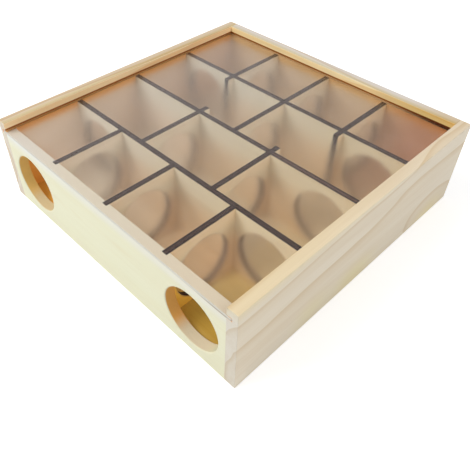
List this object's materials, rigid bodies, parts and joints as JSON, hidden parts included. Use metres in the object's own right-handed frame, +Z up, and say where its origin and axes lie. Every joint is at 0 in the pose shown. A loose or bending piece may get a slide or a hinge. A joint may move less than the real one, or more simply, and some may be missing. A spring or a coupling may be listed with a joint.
{
  "type": "wooden hamster house",
  "caption": "Flat wooden maze house for hamsters: pine box, plywood chambers joined by round doors, round entrances, clear sliding cover.",
  "frame": {"origin": "centre of the footprint, on the ground", "axes": "+X to the right, +Y to the back, +Z up; the entrances face -Y"},
  "size_m": [0.35, 0.35, 0.1],
  "materials": {
    "pine": "sanded, bare",
    "plywood": "bare faces, laser-burnt edges",
    "acrylic": "clear, slightly hazy",
    "beech": "bare"
  },
  "bodies": {
    "box": {"left_wall": "pine", "right_wall": "pine", "front_wall": "pine", "back_wall": "pine", "floor_panel": "plywood", "front_cross_divider": "plywood", "middle_cross_divider": "plywood", "rear_cross_divider": "plywood", "front_divider_left": "plywood", "front_divider_centre": "plywood", "front_divider_right": "plywood", "second_divider_left": "plywood", "second_divider_right": "plywood", "centre_divider": "plywood", "rear_divider_left": "plywood", "rear_divider_right": "plywood", "corner_dowels": "beech"},
    "cover": {"sliding_cover": "acrylic"}
  },
  "joints": [
    {"name": "cover_slide", "type": "slide", "parent": "box", "child": "cover", "axis": [0, -1, 0], "range_m": [0, 0.35]}
  ]
}
